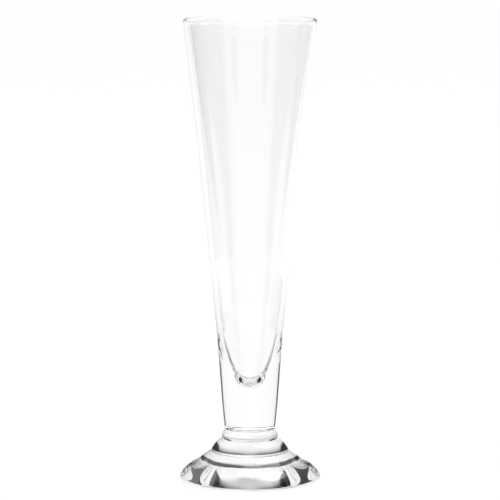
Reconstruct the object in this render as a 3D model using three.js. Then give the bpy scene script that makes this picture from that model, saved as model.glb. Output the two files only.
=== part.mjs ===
// A tall footed beer glass in clear soda-lime glass: a tapering bowl, a short solid stem, a collar and a stepped
// foot, all round about one upright axis and fused end to end. Millimetres, +Z up, with the origin on the table
// under the middle of the foot.
import * as THREE from "three";

// Bowl: heights are measured up from the weld with the stem.
const BOWL_HEIGHT = 196;
const RIM_DIAMETER = 67.6;
const WAIST_HEIGHT = 33; // where the taper of the side eases towards the stem
const WAIST_DIAMETER = 33.2;
const SIDE_HOLLOW = 0.5; // how far the side bows in, half-way between waist and rim
const RIM_WALL = 1.4;
const LOWER_WALL = 2.25; // wall at the top of the hollow's rounded tip
const FLOOR_THICKNESS = 8.5; // solid glass under the hollow
const TIP_LENGTH = 41.7; // height of the hollow's blunt, bullet-shaped tip
const TIP_FULLNESS = 8.9; // reach of the tip's round end to each side
const TIP_EASE = 15; // length over which the tip runs into the even wall

// Stem
const STEM_HEIGHT = 13.6;
const STEM_TOP_DIAMETER = 28.5;
const STEM_TAPER = 2.5; // how much narrower its lower end is
const STEM_EDGE_ROUND = 1; // rounded lower edge, which leaves a groove above the collar

// Collar
const COLLAR_HEIGHT = 4.7;
const COLLAR_OVERHANG = 1.3; // how far its bead stands out past the stem's lower end
const COLLAR_SEAT_INSET = 0.3; // from the bead in to where it is fused to the foot
const COLLAR_BEAD_HEIGHT = 1.6; // height of its widest ring above the foot

// Foot: a wide base that carries two rounded tiers. A shoulder's lean and fullness are the shares of its way in
// and of its rise at which it turns.
const BASE_RISE = 9.4;
const BASE_DIAMETER = 72;
const BASE_EDGE_HEIGHT = 0.8;
const BASE_EDGE_INSET = 0.5; // from the widest edge in to the ring that stands on the table
const BASE_LEAN = 0.2;
const BASE_FULLNESS = 0.66;
const REST_RING_WIDTH = 3;
const PUNT_DEPTH = 0.5; // shallow dome under the foot
const LOWER_TIER_RISE = 4.8;
const LOWER_TIER_DIAMETER = 52;
const LOWER_TIER_UNDERCUT = 1.1; // from the tier's widest edge in to its root
const LOWER_TIER_EDGE_HEIGHT = 0.3; // height of the widest edge above the root
const LOWER_TIER_LEAN = 0.17;
const LOWER_TIER_FULLNESS = 0.27;
const UPPER_TIER_RISE = 6.5;
const UPPER_TIER_DIAMETER = 39.1;
const UPPER_TIER_UNDERCUT = 0.15;
const UPPER_TIER_EDGE_HEIGHT = 0.9;
const UPPER_TIER_LEAN = 0.37;
const UPPER_TIER_FULLNESS = 0.68;

// Facets of the round surfaces
const TURN_SEGMENTS = 48;
const SIDE_STEPS = 10;
const TIP_STEPS = 12;
const SHOULDER_STEPS = 7;
const ROUND_STEPS = 4;

const FOOT_HEIGHT = BASE_RISE + LOWER_TIER_RISE + UPPER_TIER_RISE;
const STEM_BOTTOM_RADIUS = (STEM_TOP_DIAMETER - STEM_TAPER) / 2;
const NECK_RADIUS = STEM_BOTTOM_RADIUS - STEM_EDGE_ROUND; // where the stem is fused to the collar
const BEAD_RADIUS = STEM_BOTTOM_RADIUS + COLLAR_OVERHANG;
const SEAT_RADIUS = BEAD_RADIUS - COLLAR_SEAT_INSET;
const LIP_RADIUS = RIM_WALL / 2; // the lip is fully round
const LIP_HEIGHT = BOWL_HEIGHT - LIP_RADIUS;

// A point of a profile: radius from the axis and height in the piece.
const at = (radius, height) => new THREE.Vector2(radius, height);

// A smooth bend that leaves one point towards a corner and arrives at the next point from that corner.
const bend = (from, corner, to, steps) => new THREE.QuadraticBezierCurve(from, corner, to).getPoints(steps);

// Outer radius of the bowl at a height: a plain taper up to the waist, then a slightly hollow flare to the rim.
function bowlRadius(height) {
  const stemRadius = STEM_TOP_DIAMETER / 2;
  const waistRadius = WAIST_DIAMETER / 2;
  if (height <= WAIST_HEIGHT) return THREE.MathUtils.lerp(stemRadius, waistRadius, height / WAIST_HEIGHT);
  const share = (height - WAIST_HEIGHT) / (LIP_HEIGHT - WAIST_HEIGHT);
  return THREE.MathUtils.lerp(waistRadius, RIM_DIAMETER / 2, share) - 4 * SIDE_HOLLOW * share * (1 - share);
}

// Heights spread evenly from one level to another, both ends included.
function levels(from, to, steps) {
  return Array.from({ length: steps + 1 }, (_, i) => THREE.MathUtils.lerp(from, to, i / steps));
}

function bowlProfile() {
  const tipHeight = FLOOR_THICKNESS;
  const evenHeight = tipHeight + TIP_LENGTH;
  const hollowRadius = (height) => {
    const share = (height - evenHeight) / (LIP_HEIGHT - evenHeight);
    return bowlRadius(height) - THREE.MathUtils.lerp(LOWER_WALL, RIM_WALL, share);
  };
  const lipCentre = RIM_DIAMETER / 2 - LIP_RADIUS;
  const lip = new THREE.EllipseCurve(lipCentre, LIP_HEIGHT, LIP_RADIUS, LIP_RADIUS, 0, Math.PI);
  const lean = (hollowRadius(evenHeight) - hollowRadius(evenHeight - TIP_EASE)) / TIP_EASE;
  const tip = new THREE.CubicBezierCurve(
    at(hollowRadius(evenHeight), evenHeight),
    at(hollowRadius(evenHeight) - lean * TIP_EASE, evenHeight - TIP_EASE),
    at(TIP_FULLNESS, tipHeight),
    at(0, tipHeight),
  );
  return [
    at(0, 0),
    at(bowlRadius(0), 0),
    ...levels(WAIST_HEIGHT, LIP_HEIGHT, SIDE_STEPS).map((height) => at(bowlRadius(height), height)),
    ...lip.getPoints(2 * ROUND_STEPS).slice(1),
    ...levels(LIP_HEIGHT, evenHeight, SIDE_STEPS).slice(1).map((height) => at(hollowRadius(height), height)),
    ...tip.getPoints(TIP_STEPS).slice(1),
  ];
}

function stemProfile() {
  const corner = at(STEM_BOTTOM_RADIUS, 0);
  const edge = at(STEM_BOTTOM_RADIUS, STEM_EDGE_ROUND);
  return [
    at(0, 0),
    ...bend(at(NECK_RADIUS, 0), corner, edge, ROUND_STEPS),
    at(STEM_TOP_DIAMETER / 2, STEM_HEIGHT),
    at(0, STEM_HEIGHT),
  ];
}

function collarProfile() {
  const bead = at(BEAD_RADIUS, COLLAR_BEAD_HEIGHT);
  const underBead = at(BEAD_RADIUS, COLLAR_BEAD_HEIGHT / 2);
  const overBead = at(BEAD_RADIUS, (COLLAR_BEAD_HEIGHT + COLLAR_HEIGHT) / 2);
  return [
    at(0, 0),
    ...bend(at(SEAT_RADIUS, 0), underBead, bead, ROUND_STEPS),
    ...bend(bead, overBead, at(NECK_RADIUS, COLLAR_HEIGHT), ROUND_STEPS).slice(1),
    at(0, COLLAR_HEIGHT),
  ];
}

// Shoulder of a tier, from its widest edge up to where the next piece stands on it.
function shoulder(edge, top, lean, fullness) {
  const corner = at(THREE.MathUtils.lerp(edge.x, top.x, lean), THREE.MathUtils.lerp(edge.y, top.y, fullness));
  return bend(edge, corner, top, SHOULDER_STEPS);
}

// A tier of the foot: the undercut round from its root to its widest edge, then its shoulder up to the next level.
function tier(root, edge, top, lean, fullness) {
  const undercut = bend(root, at(edge.x, root.y), edge, ROUND_STEPS);
  return [...undercut.slice(1), ...shoulder(edge, top, lean, fullness).slice(1)];
}

function footProfile() {
  const restRadius = BASE_DIAMETER / 2 - BASE_EDGE_INSET;
  const ringRadius = restRadius - REST_RING_WIDTH;
  const lowerRadius = LOWER_TIER_DIAMETER / 2;
  const upperRadius = UPPER_TIER_DIAMETER / 2;
  const upperBottom = BASE_RISE + LOWER_TIER_RISE;
  const baseEdge = at(BASE_DIAMETER / 2, BASE_EDGE_HEIGHT);
  const lowerRoot = at(lowerRadius - LOWER_TIER_UNDERCUT, BASE_RISE);
  const lowerEdge = at(lowerRadius, BASE_RISE + LOWER_TIER_EDGE_HEIGHT);
  const upperRoot = at(upperRadius - UPPER_TIER_UNDERCUT, upperBottom);
  const upperEdge = at(upperRadius, upperBottom + UPPER_TIER_EDGE_HEIGHT);
  const seat = at(SEAT_RADIUS, FOOT_HEIGHT);
  return [
    ...bend(at(0, PUNT_DEPTH), at(ringRadius / 3, PUNT_DEPTH), at(ringRadius, 0), ROUND_STEPS),
    ...bend(at(restRadius, 0), at(baseEdge.x, 0), baseEdge, ROUND_STEPS),
    ...shoulder(baseEdge, lowerRoot, BASE_LEAN, BASE_FULLNESS).slice(1),
    ...tier(lowerRoot, lowerEdge, upperRoot, LOWER_TIER_LEAN, LOWER_TIER_FULLNESS),
    ...tier(upperRoot, upperEdge, seat, UPPER_TIER_LEAN, UPPER_TIER_FULLNESS),
    at(0, FOOT_HEIGHT),
  ];
}

// A piece of clear glass turned from its profile, standing with its lower face at the given height.
function glassPiece(name, profile, bottom, colour, roughness) {
  const geometry = new THREE.LatheGeometry(profile, TURN_SEGMENTS).rotateX(Math.PI / 2);
  const material = new THREE.MeshStandardMaterial({ color: colour, roughness, metalness: 0 });
  material.transparent = true;
  material.opacity = 0.35;
  const mesh = new THREE.Mesh(geometry, material);
  mesh.name = name;
  mesh.position.z = bottom;
  return mesh;
}

const collarBottom = FOOT_HEIGHT;
const stemBottom = collarBottom + COLLAR_HEIGHT;
const bowlBottom = stemBottom + STEM_HEIGHT;

const glass = new THREE.Group();
glass.add(
  glassPiece("foot", footProfile(), 0, 0xeef3ef, 0.05),
  glassPiece("collar", collarProfile(), collarBottom, 0xf1f5f2, 0.04),
  glassPiece("stem", stemProfile(), stemBottom, 0xf4f7f5, 0.03),
  glassPiece("bowl", bowlProfile(), bowlBottom, 0xf6f8f7, 0.02),
);

export default glass;
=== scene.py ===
import math

import bpy
import numpy as np
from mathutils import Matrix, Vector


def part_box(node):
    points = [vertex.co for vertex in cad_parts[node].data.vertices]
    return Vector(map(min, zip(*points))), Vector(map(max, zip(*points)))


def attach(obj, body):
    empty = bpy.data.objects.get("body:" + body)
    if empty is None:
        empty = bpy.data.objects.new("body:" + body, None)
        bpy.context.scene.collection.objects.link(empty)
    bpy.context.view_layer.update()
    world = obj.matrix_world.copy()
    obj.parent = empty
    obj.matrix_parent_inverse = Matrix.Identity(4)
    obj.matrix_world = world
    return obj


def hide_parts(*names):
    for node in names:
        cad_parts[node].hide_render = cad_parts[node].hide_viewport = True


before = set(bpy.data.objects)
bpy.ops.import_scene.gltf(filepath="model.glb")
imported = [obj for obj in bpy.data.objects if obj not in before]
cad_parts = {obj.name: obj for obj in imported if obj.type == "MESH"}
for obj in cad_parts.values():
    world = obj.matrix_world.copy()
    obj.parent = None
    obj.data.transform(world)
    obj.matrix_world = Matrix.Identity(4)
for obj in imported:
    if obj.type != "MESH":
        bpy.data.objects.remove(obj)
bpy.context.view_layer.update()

# Foot: a wide round base that carries two rounded tiers, in thick clear soda-lime glass.
# It is pressed in a mould and fire-polished, and it stands on a flat ring round a shallow hollow.
foot_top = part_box("foot")[1].z
base_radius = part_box("foot")[1].x
BASE_RISE = 0.0094
BASE_EDGE_HEIGHT = 0.0008
BASE_EDGE_INSET = 0.0005
BASE_LEAN = 0.2
BASE_FULLNESS = 0.66
REST_RING_WIDTH = 0.003
PUNT_DEPTH = 0.0005
PUNT_FLAT_SHARE = 1 / 3
LOWER_TIER_RISE = 0.0048
LOWER_TIER_RADIUS = 0.026
LOWER_TIER_UNDERCUT = (0.0011, 0.0003)
LOWER_TIER_LEAN = 0.17
LOWER_TIER_FULLNESS = 0.27
UPPER_TIER_RADIUS = 0.01955
UPPER_TIER_UNDERCUT = (0.00015, 0.0009)
UPPER_TIER_LEAN = 0.37
UPPER_TIER_FULLNESS = 0.68
COLLAR_SEAT_RADIUS = 0.014
CURVE_STEPS = 28
ROUND_STEPS = 14
TURN_STEPS = 240
AXIS_LIMIT = 1e-7
GLASS_INDEX = 1.52
SMEAR_SCALE = 60
PRESSED_TINT = (0.975, 0.98, 0.97, 1)


def straight(start, end, steps):
    """Points on a straight line: (1 - t) start + t end, for even steps of t from 0 to 1."""
    t = np.linspace(0, 1, steps + 1)[:, None]
    return (1 - t) * np.array(start) + t * np.array(end)


def bend(start, corner, end, steps):
    """Points on a curve that leaves start towards corner and reaches end from it:
    (1 - t)^2 start + 2 t (1 - t) corner + t^2 end, for even steps of t from 0 to 1."""
    t = np.linspace(0, 1, steps + 1)[:, None]
    return (1 - t) ** 2 * np.array(start) + 2 * t * (1 - t) * np.array(corner) + t**2 * np.array(end)


def shoulder(edge, top, lean, fullness):
    """The rounded top of a tier: a bend from its widest edge to the next level, whose corner lies
    the share lean of the way in and the share fullness of the way up."""
    corner = (edge[0] + lean * (top[0] - edge[0]), edge[1] + fullness * (top[1] - edge[1]))
    return bend(edge, corner, top, CURVE_STEPS)


def tier(root, edge, top, lean, fullness):
    """The undercut round from a tier's root out to its widest edge, then the tier's shoulder."""
    return [bend(root, (edge[0], root[1]), edge, ROUND_STEPS), shoulder(edge, top, lean, fullness)]


def turned(name, stretches):
    """A closed solid of revolution. The outline's (radius, height) points are carried round Z:
    x = radius cos a, y = radius sin a, z = height. A fan of triangles to the axis closes each end,
    as glass where the outline reaches the axis and as a weld face where it stops short of it.
    Normals follow the outline's slope: (dz, -dr) along the radius and Z."""
    outline = np.concatenate([stretches[0]] + [stretch[1:] for stretch in stretches[1:]])
    way = np.append(0, np.cumsum(np.hypot(*np.diff(outline, axis=0).T)))
    slope = np.gradient(outline, way, axis=0)
    slope /= np.linalg.norm(slope, axis=1, keepdims=True)
    off_axis = outline[:, 0] > AXIS_LIMIT
    turn = np.linspace(0, 2 * np.pi, TURN_STEPS, endpoint=False)

    def carried_round(radial, axial):
        radial, axial = radial[off_axis, None], axial[off_axis, None]
        grid = [radial * np.cos(turn), radial * np.sin(turn), axial + 0 * turn]
        return np.stack(grid, axis=-1).reshape(-1, 3)

    poles = np.array([[0, 0, outline[0, 1]], [0, 0, outline[-1, 1]]])
    points = np.concatenate([carried_round(outline[:, 0], outline[:, 1]), poles])
    normals = np.concatenate([carried_round(slope[:, 1], -slope[:, 0]), [[0, 0, -1], [0, 0, 1]]])
    low_pole, high_pole = len(points) - 2, len(points) - 1
    here = np.arange(TURN_STEPS)
    beside = np.roll(here, -1)
    rows = TURN_STEPS * np.arange(off_axis.sum())[:, None]
    low, high = rows[:-1], rows[1:]
    sides = np.stack([low + here, low + beside, high + beside, high + here], axis=-1).reshape(-1, 4)
    last = rows[-1]
    low_fan = np.stack([low_pole + 0 * here, beside, here], axis=-1)
    high_fan = np.stack([high_pole + 0 * here, last + here, last + beside], axis=-1)
    mesh = bpy.data.meshes.new(name)
    mesh.from_pydata(points.tolist(), [], sides.tolist() + low_fan.tolist() + high_fan.tolist())
    ends = np.repeat(off_axis[[0, -1]], TURN_STEPS)
    mesh.polygons.foreach_set("material_index", np.append(np.zeros(len(sides), int), ends))
    mesh.shade_smooth()
    mesh.normals_split_custom_set_from_vertices(normals.tolist())
    piece = bpy.data.objects.new(name, mesh)
    bpy.context.scene.collection.objects.link(piece)
    return piece


class Shade:
    """A socket of a node tree. Arithmetic on it adds Math nodes, and node() adds any other node."""

    def __init__(self, tree, socket=None):
        self.tree = tree
        self.socket = socket

    def node(self, kind, settings={}, sockets={}, out=0):
        made = self.tree.nodes.new(kind)
        for name, value in settings.items():
            setattr(made, name, value)
        for name, value in sockets.items():
            if isinstance(value, Shade):
                self.tree.links.new(value.socket, made.inputs[name])
            else:
                made.inputs[name].default_value = value
        return Shade(self.tree, made.outputs[out] if made.outputs else None)

    def maths(self, operation, first, second):
        return self.node("ShaderNodeMath", {"operation": operation}, {0: first, 1: second})

    def __add__(self, other):
        return self.maths("ADD", self, other)

    def __radd__(self, other):
        return self.maths("ADD", other, self)

    def __sub__(self, other):
        return self.maths("SUBTRACT", self, other)

    def __rsub__(self, other):
        return self.maths("SUBTRACT", other, self)

    def __mul__(self, other):
        return self.maths("MULTIPLY", self, other)

    def __rmul__(self, other):
        return self.maths("MULTIPLY", other, self)


def fresh_tree(owner):
    """An empty node tree on a material or a world, ready for its first node."""
    owner.use_nodes = True
    owner.node_tree.nodes.clear()
    return Shade(owner.node_tree)


def clear_glass(name, tint, film, ripple_scale, ripple_depth):
    """Clear glass with a faint film of handling in its roughness and a slow ripple from the hot work."""
    material = bpy.data.materials.new(name)
    shade = fresh_tree(material)
    place = shade.node("ShaderNodeTexCoord", out="Object")
    smear = shade.node("ShaderNodeTexNoise", {}, {"Vector": place, "Scale": SMEAR_SCALE, "Detail": 4})
    ripple = shade.node("ShaderNodeTexNoise", {}, {"Vector": place, "Scale": ripple_scale, "Detail": 1})
    normal = shade.node("ShaderNodeBump", {}, {"Height": ripple, "Strength": 1, "Distance": ripple_depth})
    look = {"Base Color": tint, "Roughness": smear * film, "Normal": normal}
    look |= {"IOR": GLASS_INDEX, "Transmission Weight": 1}
    glass = shade.node("ShaderNodeBsdfPrincipled", {}, look)
    shade.node("ShaderNodeOutputMaterial", {}, {"Surface": glass})
    return material


def fused_face():
    """The face where two pieces are fused: the glass runs on through it, so it can't be seen."""
    material = bpy.data.materials.new("fused_face")
    shade = fresh_tree(material)
    look = {"Base Color": PRESSED_TINT, "Roughness": 0, "Alpha": 0}
    shade.node("ShaderNodeOutputMaterial", {}, {"Surface": shade.node("ShaderNodeBsdfPrincipled", {}, look)})
    return material


rest_radius = base_radius - BASE_EDGE_INSET
ring_radius = rest_radius - REST_RING_WIDTH
base_edge = (base_radius, BASE_EDGE_HEIGHT)
lower_root = (LOWER_TIER_RADIUS - LOWER_TIER_UNDERCUT[0], BASE_RISE)
lower_edge = (LOWER_TIER_RADIUS, BASE_RISE + LOWER_TIER_UNDERCUT[1])
upper_root = (UPPER_TIER_RADIUS - UPPER_TIER_UNDERCUT[0], BASE_RISE + LOWER_TIER_RISE)
upper_edge = (UPPER_TIER_RADIUS, upper_root[1] + UPPER_TIER_UNDERCUT[1])
collar_seat = (COLLAR_SEAT_RADIUS, foot_top)
foot = turned("pressed_foot", [
    bend((0, PUNT_DEPTH), (PUNT_FLAT_SHARE * ring_radius, PUNT_DEPTH), (ring_radius, 0), CURVE_STEPS),
    straight((ring_radius, 0), (rest_radius, 0), ROUND_STEPS),
    bend((rest_radius, 0), (base_radius, 0), base_edge, ROUND_STEPS),
    shoulder(base_edge, lower_root, BASE_LEAN, BASE_FULLNESS),
    *tier(lower_root, lower_edge, upper_root, LOWER_TIER_LEAN, LOWER_TIER_FULLNESS),
    *tier(upper_root, upper_edge, collar_seat, UPPER_TIER_LEAN, UPPER_TIER_FULLNESS),
])
weld = fused_face()
pressed_glass = clear_glass("pressed_glass", PRESSED_TINT, film=0.02, ripple_scale=45, ripple_depth=0.00006)
foot.data.materials.append(pressed_glass)
foot.data.materials.append(weld)
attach(foot, "root")
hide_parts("foot")

# Collar: a small round bead of clear glass between the foot and the stem.
# It is a gather of hot glass that is dropped on the foot, shaped with a tool and fused on both sides.
collar_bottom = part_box("collar")[0].z
collar_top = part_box("collar")[1].z
bead_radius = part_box("collar")[1].x
BEAD_HEIGHT = 0.0016
NECK_RADIUS = 0.012
WORKED_TINT = (0.985, 0.988, 0.984, 1)

bead_level = collar_bottom + BEAD_HEIGHT
under_bead = (bead_radius, collar_bottom + BEAD_HEIGHT / 2)
over_bead = (bead_radius, (bead_level + collar_top) / 2)
collar = turned("collar_bead", [
    bend((COLLAR_SEAT_RADIUS, collar_bottom), under_bead, (bead_radius, bead_level), CURVE_STEPS),
    bend((bead_radius, bead_level), over_bead, (NECK_RADIUS, collar_top), CURVE_STEPS),
])
worked_glass = clear_glass("worked_glass", WORKED_TINT, film=0.015, ripple_scale=35, ripple_depth=0.00003)
collar.data.materials.append(worked_glass)
collar.data.materials.append(weld)
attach(collar, "root")
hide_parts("collar")

# Stem: a short solid length of clear glass that widens upwards into the bowl.
# It is drawn down from the bowl's thick bottom while hot, and its lower edge is rounded over the collar.
stem_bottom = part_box("stem")[0].z
stem_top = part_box("stem")[1].z
stem_top_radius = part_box("stem")[1].x
STEM_BOTTOM_RADIUS = 0.013
STEM_EDGE_ROUND = 0.001

stem_edge = (STEM_BOTTOM_RADIUS, stem_bottom + STEM_EDGE_ROUND)
stem = turned("short_stem", [
    bend((NECK_RADIUS, stem_bottom), (STEM_BOTTOM_RADIUS, stem_bottom), stem_edge, ROUND_STEPS),
    straight(stem_edge, (stem_top_radius, stem_top), CURVE_STEPS),
])
stem.data.materials.append(worked_glass)
stem.data.materials.append(weld)
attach(stem, "root")
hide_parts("stem")

# Bowl: the tall tapering bowl of clear glass, with a thick solid bottom under its bullet-shaped hollow.
# It is blown in a mould, cut off at the rim and fire-polished there, which leaves a round lip.
bowl_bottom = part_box("bowl")[0].z
rim_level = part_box("bowl")[1].z
rim_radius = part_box("bowl")[1].x
WAIST_HEIGHT = 0.033
WAIST_RADIUS = 0.0166
SIDE_HOLLOW = 0.0005
RIM_WALL = 0.0014
LOWER_WALL = 0.00225
FLOOR_THICKNESS = 0.0085
TIP_LENGTH = 0.0417
TIP_FULLNESS = 0.0089
TIP_EASE = 0.015
SIDE_STEPS = 80
TIP_STEPS = 60
BLOWN_TINT = (0.99, 0.992, 0.99, 1)

lip_radius = RIM_WALL / 2
lip_level = rim_level - lip_radius
waist_level = bowl_bottom + WAIST_HEIGHT
floor_level = bowl_bottom + FLOOR_THICKNESS
even_level = floor_level + TIP_LENGTH


def side_radius(level):
    """The bowl's outer radius above the waist: an even flare to the lip, less a hollow of
    4 h s (1 - s), where s runs from 0 at the waist to 1 at the lip."""
    share = (level - waist_level) / (lip_level - waist_level)
    return WAIST_RADIUS + (rim_radius - WAIST_RADIUS) * share - 4 * SIDE_HOLLOW * share * (1 - share)


def hollow_radius(level):
    """The hollow's radius: the outer radius less a wall that thins evenly up to the lip."""
    share = (level - even_level) / (lip_level - even_level)
    return side_radius(level) - LOWER_WALL - (RIM_WALL - LOWER_WALL) * share


def round_lip():
    """The fire-polished lip: a half circle (c + r cos a, z + r sin a) from the outer side, over the top,
    to the hollow."""
    turn = np.linspace(0, np.pi, 2 * ROUND_STEPS + 1)
    across = rim_radius - lip_radius + lip_radius * np.cos(turn)
    return np.stack([across, lip_level + lip_radius * np.sin(turn)], 1)


def bullet_tip():
    """The hollow's rounded end: a curve (1-t)^3 a + 3 t (1-t)^2 b + 3 t^2 (1-t) c + t^3 d that leaves the
    even wall along its lean and meets the axis square on."""
    lean = (hollow_radius(even_level) - hollow_radius(even_level - TIP_EASE)) / TIP_EASE
    wall_end = np.array([hollow_radius(even_level), even_level])
    wall_aim = wall_end - TIP_EASE * np.array([lean, 1])
    round_aim = np.array([TIP_FULLNESS, floor_level])
    t = np.linspace(0, 1, TIP_STEPS + 1)[:, None]
    upper = (1 - t) ** 3 * wall_end + 3 * t * (1 - t) ** 2 * wall_aim
    return upper + 3 * t**2 * (1 - t) * round_aim + t**3 * np.array([0, floor_level])


side_levels = np.linspace(waist_level, lip_level, SIDE_STEPS + 1)
hollow_levels = np.linspace(lip_level, even_level, SIDE_STEPS + 1)
bowl = turned("tall_bowl", [
    straight((stem_top_radius, bowl_bottom), (WAIST_RADIUS, waist_level), CURVE_STEPS),
    np.stack([side_radius(side_levels), side_levels], 1),
    round_lip(),
    np.stack([hollow_radius(hollow_levels), hollow_levels], 1),
    bullet_tip(),
])
blown_glass = clear_glass("blown_glass", BLOWN_TINT, film=0.012, ripple_scale=18, ripple_depth=0.00002)
bowl.data.materials.append(blown_glass)
bowl.data.materials.append(weld)
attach(bowl, "root")
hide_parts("bowl")

# Table: a large sheet of plain white card that the glass stands on, lit so that it runs into the white behind it.
# Most of its white is its own glow, so that it stays plain, and the rest takes the glass's soft shadow.
TABLE_REACH = 8
TABLE_GLOW = 0.85
TABLE_WHITE = (0.97, 0.97, 0.97, 1)
PURE_WHITE = (1, 1, 1, 1)

table_corners = TABLE_REACH * np.array([[-1, -1], [1, -1], [1, 1], [-1, 1]])
table_mesh = bpy.data.meshes.new("table")
table_mesh.from_pydata(np.insert(table_corners, 2, 0, axis=1).tolist(), [], [(0, 1, 2, 3)])
table = bpy.data.objects.new("table", table_mesh)
bpy.context.scene.collection.objects.link(table)
table_white = bpy.data.materials.new("table_white")
shade = fresh_tree(table_white)
matt = shade.node("ShaderNodeBsdfDiffuse", {}, {"Color": TABLE_WHITE})
glow = shade.node("ShaderNodeEmission", {}, {"Color": PURE_WHITE, "Strength": 1})
surface = shade.node("ShaderNodeMixShader", {}, {0: TABLE_GLOW, 1: matt, 2: glow})
shade.node("ShaderNodeOutputMaterial", {}, {"Surface": surface})
table_mesh.materials.append(table_white)

# Cards: dark cards that lie on the table or stand round the glass, and black flags further off, all out of the
# camera's sight. The glass mirrors them or bends them into view, which gives clear glass its dark lines.
# A turn is in degrees about Z, with 90 straight behind the glass, and a tone runs from 0 for black to 1 for white.
# The black sheets under the foot and close round it are painted shade of the table there, which the glass shows
# through or mirrors.
CARD_LIFT = 0.0002
CARD_STEPS = 24
SHADOW_UNDER_FOOT_EDGES = ((0.0001, 0), (0.032, 0))
NEAR_SHADOW_REACH = (0.037, 0.1)
FAR_REACH = (0.1, 3)
WALL_DISTANCE = 0.07
WALL_FOOT = (0, 0.05)
WALL_FADE = (0.05, 0.1)
WALL_TOP = 0.25
BOARD_DISTANCE = 0.16
FLAG_DISTANCE = 1.5
FRONT_FLAG = (0.39, 0.6)
SIDE_FLAG = (0.88, 2.1)
BLACK = (0.02, 0.02)
BLACK_TO_WHITE = (0.02, 1)
WHITE_TO_BLACK = (1, 0.02)
MIRRORED = "mirrored by the glass"
THROUGH = "seen through the glass"

card_grey = bpy.data.materials.new("card_grey")
shade = fresh_tree(card_grey)
grey = shade.node("ShaderNodeAttribute", {"attribute_name": "tone"}, out="Fac")
surface = shade.node("ShaderNodeEmission", {}, {"Color": grey, "Strength": 1})
shade.node("ShaderNodeOutputMaterial", {}, {"Surface": surface})


def swept_card(name, use, turn, edges, tones):
    """A card between two edges, each a (radius, height), that are carried round Z between two angles:
    x = r cos a, y = r sin a, z = height. Its grey runs evenly from the first edge's tone to the second's.
    The glass either mirrors it or shows it through, and nothing else takes light from it."""
    angle = np.radians(np.linspace(*turn, CARD_STEPS + 1))

    def carried_round(radius, height):
        return np.stack([radius * np.cos(angle), radius * np.sin(angle), height + 0 * angle], axis=1)

    points = np.concatenate([carried_round(*edge) for edge in edges])
    greys = np.repeat(tones, CARD_STEPS + 1).astype(np.float32)
    here = np.arange(CARD_STEPS)
    far = here + CARD_STEPS + 1
    mesh = bpy.data.meshes.new(name)
    mesh.from_pydata(points.tolist(), [], np.stack([here, far, far + 1, here + 1], axis=1).tolist())
    mesh.attributes.new("tone", "FLOAT", "POINT").data.foreach_set("value", greys)
    mesh.materials.append(card_grey)
    card = bpy.data.objects.new(name, mesh)
    bpy.context.scene.collection.objects.link(card)
    card.visible_camera = False
    card.visible_diffuse = False
    card.visible_shadow = False
    card.visible_glossy = use == MIRRORED
    card.visible_transmission = use == THROUGH


def laid_card(name, use, turn, reach, tones):
    """A card flat on the table, between two distances from the glass's axis."""
    swept_card(name, use, turn, [(distance, CARD_LIFT) for distance in reach], tones)


def near_wall(name, turn, heights, tones):
    """A card that stands close round the glass, which mirrors it."""
    swept_card(name, MIRRORED, turn, [(WALL_DISTANCE, height) for height in heights], tones)


def low_board(name, turn, heights, tones):
    """A low board that stands round the glass on the table and shows through it."""
    swept_card(name, THROUGH, turn, [(BOARD_DISTANCE, height) for height in heights], tones)


def flag(name, turn, heights):
    """A black flag on a stand, which shows through the solid glass of the foot and the stem."""
    swept_card(name, THROUGH, turn, [(FLAG_DISTANCE, height) for height in heights], BLACK)


# A black disc under the foot's hollow, seen only through the glass: painted shadow of the foot on the table
# beneath it.
swept_card("painted_shadow_under_foot", THROUGH, turn=(0, 360), edges=SHADOW_UNDER_FOOT_EDGES, tones=BLACK)
laid_card("left_line_card", THROUGH, turn=(140, 158), reach=(0.038, 0.09), tones=(0.35, 0.35))
laid_card("left_line_fade", THROUGH, turn=(138, 150), reach=(0.09, 0.18), tones=(0.35, 1))
laid_card("right_line_card", THROUGH, turn=(22, 40), reach=(0.038, 0.16), tones=(0.5, 0.5))
low_board("left_board", turn=(147, 166), heights=(0, 0.045), tones=BLACK)
low_board("left_board_fade", turn=(147, 166), heights=(0.045, 0.075), tones=BLACK_TO_WHITE)
low_board("right_board", turn=(-20, 32), heights=(0, 0.065), tones=(0.15, 0.15))
flag("left_front_flag", turn=(233, 244), heights=FRONT_FLAG)
flag("right_front_flag", turn=(296, 307), heights=FRONT_FLAG)
flag("left_flag", turn=(130, 176), heights=SIDE_FLAG)
flag("right_flag", turn=(4, 50), heights=SIDE_FLAG)
# A black ring on the table close round the foot, seen only mirrored by the glass: painted shade of the table round
# the foot.
laid_card("left_painted_contact_shadow", MIRRORED, turn=(95, 235), reach=NEAR_SHADOW_REACH, tones=BLACK)
laid_card("right_painted_contact_shadow", MIRRORED, turn=(-55, 85), reach=NEAR_SHADOW_REACH, tones=BLACK)
laid_card("left_card", MIRRORED, turn=(147, 190), reach=FAR_REACH, tones=BLACK)
laid_card("left_front_card", MIRRORED, turn=(190, 235), reach=FAR_REACH, tones=(0.1, 0.1))
laid_card("front_card", MIRRORED, turn=(235, 305), reach=FAR_REACH, tones=(0.55, 0.55))
laid_card("right_card", MIRRORED, turn=(305, 376), reach=FAR_REACH, tones=(0.4, 0.4))
near_wall("left_wall", turn=(114, 235), heights=WALL_FOOT, tones=BLACK)
near_wall("left_wall_fade", turn=(114, 235), heights=WALL_FADE, tones=BLACK_TO_WHITE)
near_wall("right_wall", turn=(-55, 60), heights=WALL_FOOT, tones=BLACK)
near_wall("right_wall_fade", turn=(-55, 60), heights=WALL_FADE, tones=BLACK_TO_WHITE)
near_wall("left_edge_wall", turn=(92, 114), heights=(0, WALL_TOP), tones=BLACK)
near_wall("left_upper_wall", turn=(114, 147), heights=(WALL_FADE[1], WALL_TOP), tones=(0.8, 0.8))
near_wall("right_edge_wall", turn=(66, 88), heights=(0.16, WALL_TOP), tones=WHITE_TO_BLACK)

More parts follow.
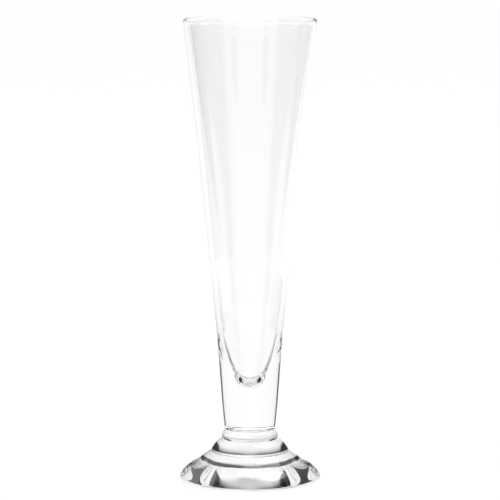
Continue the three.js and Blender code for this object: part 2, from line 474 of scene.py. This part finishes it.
# Light tent: white cloth all round, with a long dark panel at each side, a low dark strip behind, and a soft lamp.
# The camera sees plain white behind the glass, and light that runs far inside the glass comes out white.
# Rises and sides are parts of a unit direction: a rise of 1 is overhead, and a side of 1 is square to the camera.
PANEL_RISE = 0.4
PANEL_EDGE = (0.01, -0.05)
PANEL_FRONT = (-0.7, -0.5)
PANEL_TONE = 0.01
STRIP_RISE = 0.182
STRIP_MIDDLE = 0.25
STRIP_EASE = (0, 0.15)
GAP_SIDE = (0.955, 0.98)
GAP_BACK = (0.3, 0.2)
GAP_RISE = (0.06, 0.04)
LONG_WAY = 24
LAMP_SIZE = 1.2
LAMP_POWER = 12
LAMP_PLACE = (0.5, 0.4, 1.6)
LAMP_TILT = (math.radians(-14), math.radians(17), 0)

world = bpy.data.worlds.new("light_tent")
bpy.context.scene.world = world
shade = fresh_tree(world)


def eased(value, limits):
    """A smooth step of value, from 0 at the first limit to 1 at the second."""
    sockets = {"Value": value, "From Min": limits[0], "From Max": limits[1]}
    return shade.node("ShaderNodeMapRange", {"interpolation_type": "SMOOTHSTEP"}, sockets)


way = shade.node("ShaderNodeTexCoord", out="Generated")
right = shade.node("ShaderNodeSeparateXYZ", {}, {"Vector": way}, out="X")
back = shade.node("ShaderNodeSeparateXYZ", {}, {"Vector": way}, out="Y")
up = shade.node("ShaderNodeSeparateXYZ", {}, {"Vector": way}, out="Z")
aside = shade.maths("ABSOLUTE", right, 0)
seen = shade.node("ShaderNodeLightPath", out="Is Camera Ray")
scattered = shade.node("ShaderNodeLightPath", out="Is Diffuse Ray")
hits = shade.node("ShaderNodeLightPath", out="Ray Depth")
panel_top = shade.maths("MAXIMUM", PANEL_RISE * aside, STRIP_RISE)
gap = (eased(aside, GAP_SIDE) + eased(aside, GAP_BACK)) * eased(up, GAP_RISE)
panel = eased(up - panel_top, PANEL_EDGE) * eased(back, PANEL_FRONT) * (1 - gap)
darkness = 1 - STRIP_MIDDLE + STRIP_MIDDLE * eased(aside, STRIP_EASE)
shown = (1 - seen) * (1 - scattered) * shade.maths("LESS_THAN", hits, LONG_WAY)
level = 1 - shown * panel * darkness * (1 - PANEL_TONE)
cloth = shade.node("ShaderNodeBackground", {}, {"Color": PURE_WHITE, "Strength": level})
shade.node("ShaderNodeOutputWorld", {}, {"Surface": cloth})

lamp = bpy.data.lights.new("soft_lamp", "AREA")
lamp.shape = "DISK"
lamp.size = LAMP_SIZE
lamp.energy = LAMP_POWER
lamp_stand = bpy.data.objects.new("soft_lamp", lamp)
lamp_stand.location = LAMP_PLACE
lamp_stand.rotation_euler = LAMP_TILT
bpy.context.scene.collection.objects.link(lamp_stand)

# Camera: a long lens a little above the rim, looking down at the middle of the glass.
# Its focal length is given in pixels of the square picture. Light is followed through many turns, because it
# runs far inside thick glass, and the rim would go black without them.
CAMERA_DISTANCE = 1.54
CAMERA_HEIGHT = 0.327
CAMERA_AIM = 0.1177
SENSOR_WIDTH = 36
FRAME_PIXELS = 500
FOCAL_PIXELS = 3057
LIGHT_TURNS = 400

camera = bpy.data.cameras.new("camera")
camera.sensor_width = SENSOR_WIDTH
camera.lens = SENSOR_WIDTH * FOCAL_PIXELS / FRAME_PIXELS
camera_stand = bpy.data.objects.new("camera", camera)
camera_stand.location = (0, -CAMERA_DISTANCE, CAMERA_HEIGHT)
tilt = math.atan2(CAMERA_HEIGHT - CAMERA_AIM, CAMERA_DISTANCE)
camera_stand.rotation_euler = (math.pi / 2 - tilt, 0, 0)
bpy.context.scene.collection.objects.link(camera_stand)

scene = bpy.context.scene
scene.camera = camera_stand
scene.view_settings.view_transform = "Standard"
scene.cycles.max_bounces = LIGHT_TURNS
scene.cycles.transmission_bounces = LIGHT_TURNS
scene.cycles.glossy_bounces = LIGHT_TURNS
scene.cycles.transparent_max_bounces = LIGHT_TURNS

bpy.context.view_layer.update()
